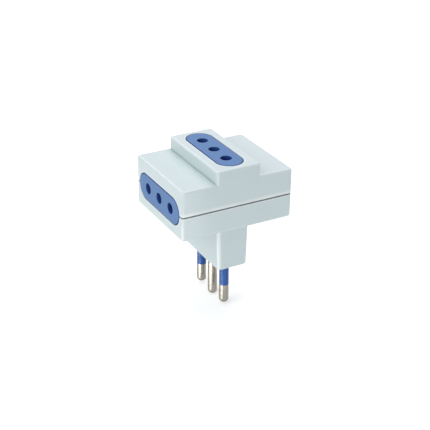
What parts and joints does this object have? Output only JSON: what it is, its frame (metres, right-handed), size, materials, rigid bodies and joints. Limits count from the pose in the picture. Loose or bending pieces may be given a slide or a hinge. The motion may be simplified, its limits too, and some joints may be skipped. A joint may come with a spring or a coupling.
{
  "type": "multi-outlet plug adapter",
  "caption": "White plug adapter: a narrow neck with round pins below a wide body, and a blue outlet face with spring-closed shutters on its raised top and on each side.",
  "frame": {"origin": "centre of the plug's face, where the earth pin comes out of the neck", "axes": "+Z from the plug towards the top outlet, X from the left to the right outlet, the rows of pins and holes along Y"},
  "size_m": [0.0474, 0.039, 0.0642],
  "materials": {
    "case_white": "smooth moulded, cool white",
    "face_blue": "moulded blue, satin",
    "shutter_navy": "moulded dark blue, matt",
    "cover_blue": "moulded blue, matt",
    "sleeve_blue": "moulded blue, glossy",
    "pin_nickel": "bright nickel plate with fine turning marks",
    "contact_brass": "rolled brass strip",
    "spring_steel": "drawn spring wire",
    "screw_steel": "zinc plated"
  },
  "bodies": {
    "adapter": {"upper_case": "case_white", "lower_case": "case_white", "top_socket_face": "face_blue", "top_shutter_cover": "cover_blue", "top_shutter_spring": "spring_steel", "left_socket_face": "face_blue", "left_shutter_cover": "cover_blue", "left_shutter_spring": "spring_steel", "right_socket_face": "face_blue", "right_shutter_cover": "cover_blue", "right_shutter_spring": "spring_steel", "line_contact": "contact_brass", "line_pin": "pin_nickel", "earth_contact": "contact_brass", "earth_pin": "pin_nickel", "neutral_contact": "contact_brass", "neutral_pin": "pin_nickel", "line_sleeve": "sleeve_blue", "neutral_sleeve": "sleeve_blue", "case_screw_front": "screw_steel", "case_screw_back": "screw_steel"},
    "top_shutter": {"top_shutter": "shutter_navy"},
    "left_shutter": {"left_shutter": "shutter_navy"},
    "right_shutter": {"right_shutter": "shutter_navy"}
  },
  "joints": [
    {"name": "top_shutter_slide", "type": "slide", "parent": "adapter", "child": "top_shutter", "axis": [0, 1, 0], "range_m": [0, 0.0048], "stiffness_N_per_m": 160, "springref_m": -0.002, "deforming": ["top_shutter_spring"]},
    {"name": "left_shutter_slide", "type": "slide", "parent": "adapter", "child": "left_shutter", "axis": [0, 1, 0], "range_m": [0, 0.0048], "stiffness_N_per_m": 160, "springref_m": -0.002, "deforming": ["left_shutter_spring"]},
    {"name": "right_shutter_slide", "type": "slide", "parent": "adapter", "child": "right_shutter", "axis": [0, 1, 0], "range_m": [0, 0.0048], "stiffness_N_per_m": 160, "springref_m": -0.002, "deforming": ["right_shutter_spring"]}
  ]
}
